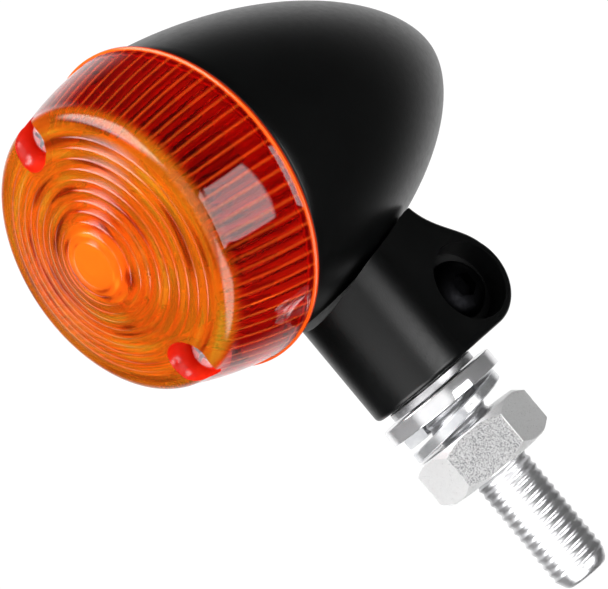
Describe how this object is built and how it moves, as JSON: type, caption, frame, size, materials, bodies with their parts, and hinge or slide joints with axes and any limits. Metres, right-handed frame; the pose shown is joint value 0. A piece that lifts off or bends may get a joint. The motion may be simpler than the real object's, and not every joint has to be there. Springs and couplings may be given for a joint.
{
  "type": "motorcycle turn signal indicator",
  "caption": "Bullet turn signal: amber lens on a black tilting housing, clamped in a forked foot on a threaded stud with washers and nut.",
  "frame": {"origin": "centre of the foot's flat base, on the axis of the threaded stud", "axes": "+Z away from the stud, -Y the way the lens faces, +X the side of the pivot screw's head"},
  "size_m": [0.057, 0.0851, 0.1169],
  "materials": {
    "satin_black": "satin black powder coat on zinc casting",
    "zinc": "bright zinc plate",
    "chrome": "bright chrome",
    "black_screw": "black oxide",
    "rubber": "soft black rubber",
    "bright_steel": "bright pressed sheet",
    "amber": "clear amber moulding",
    "brass": "bright",
    "glass": "clear bulb glass",
    "tungsten": "drawn wire",
    "fibre": "pressed fibre board",
    "vitrite": "opaque black glass insulator",
    "solder": "dull solder"
  },
  "bodies": {
    "mount": {"pivot_base": "satin_black", "mounting_stud": "zinc", "pivot_nut": "black_screw"},
    "pivot_bolt": {"pivot_screw": "black_screw"},
    "head": {"housing": "satin_black", "lead_grommet": "rubber", "reflector": "bright_steel", "socket_shell": "zinc", "contact_disc": "fibre", "contact_rivet": "brass", "contact_spring": "zinc"},
    "lens_unit": {"lens": "amber", "lens_gasket": "rubber"},
    "screw_upper": {"lens_screw_upper": "chrome"},
    "screw_lower": {"lens_screw_lower": "chrome"},
    "bulb": {"bulb_base": "brass", "bulb_glass": "glass", "bulb_stem": "glass", "bulb_filament": "tungsten", "bulb_insulator": "vitrite", "bulb_contact": "solder"},
    "clamp_stack": {"flat_washer": "chrome", "lock_washer": "zinc"},
    "nut": {"hex_nut": "zinc"}
  },
  "joints": [
    {"name": "housing_tilt", "type": "hinge", "parent": "mount", "child": "head", "pos_m": [0, 0.01205, 0.0085], "axis": [-1, 0, 0], "range_deg": [-2, 10]},
    {"name": "pivot_screw_turn", "type": "hinge", "parent": "mount", "child": "pivot_bolt", "pos_m": [0, 0.01205, 0.0085], "axis": [1, 0, 0], "range_deg": [0, 720]},
    {"name": "lens_lift_off", "type": "slide", "parent": "head", "child": "lens_unit", "axis": [0, -0.9976, 0.0698], "range_m": [0, 0.03]},
    {"name": "upper_screw_turn", "type": "hinge", "parent": "lens_unit", "child": "screw_upper", "pos_m": [0, -0.01501, 0.06865], "axis": [0, -0.9976, 0.0698], "range_deg": [0, 1440]},
    {"name": "lower_screw_turn", "type": "hinge", "parent": "lens_unit", "child": "screw_lower", "pos_m": [0, -0.01799, 0.02615], "axis": [0, -0.9976, 0.0698], "range_deg": [0, 1440]},
    {"name": "bulb_turn", "type": "hinge", "parent": "head", "child": "bulb", "pos_m": [0, -0.0165, 0.0474], "axis": [0, -0.9976, 0.0698], "range_deg": [-22, 0]},
    {"name": "clamp_slide", "type": "slide", "parent": "mount", "child": "clamp_stack", "axis": [0, 0, -1], "range_m": [0, 0.018]},
    {"name": "nut_turn", "type": "hinge", "parent": "clamp_stack", "child": "nut", "pos_m": [0, 0, -0.014], "axis": [0, 0, -1], "range_deg": [-1, 4321]}
  ],
  "couplings": [
    {"joint": "nut_turn", "follows": "clamp_slide", "rad_per_m": 4188.8}
  ]
}
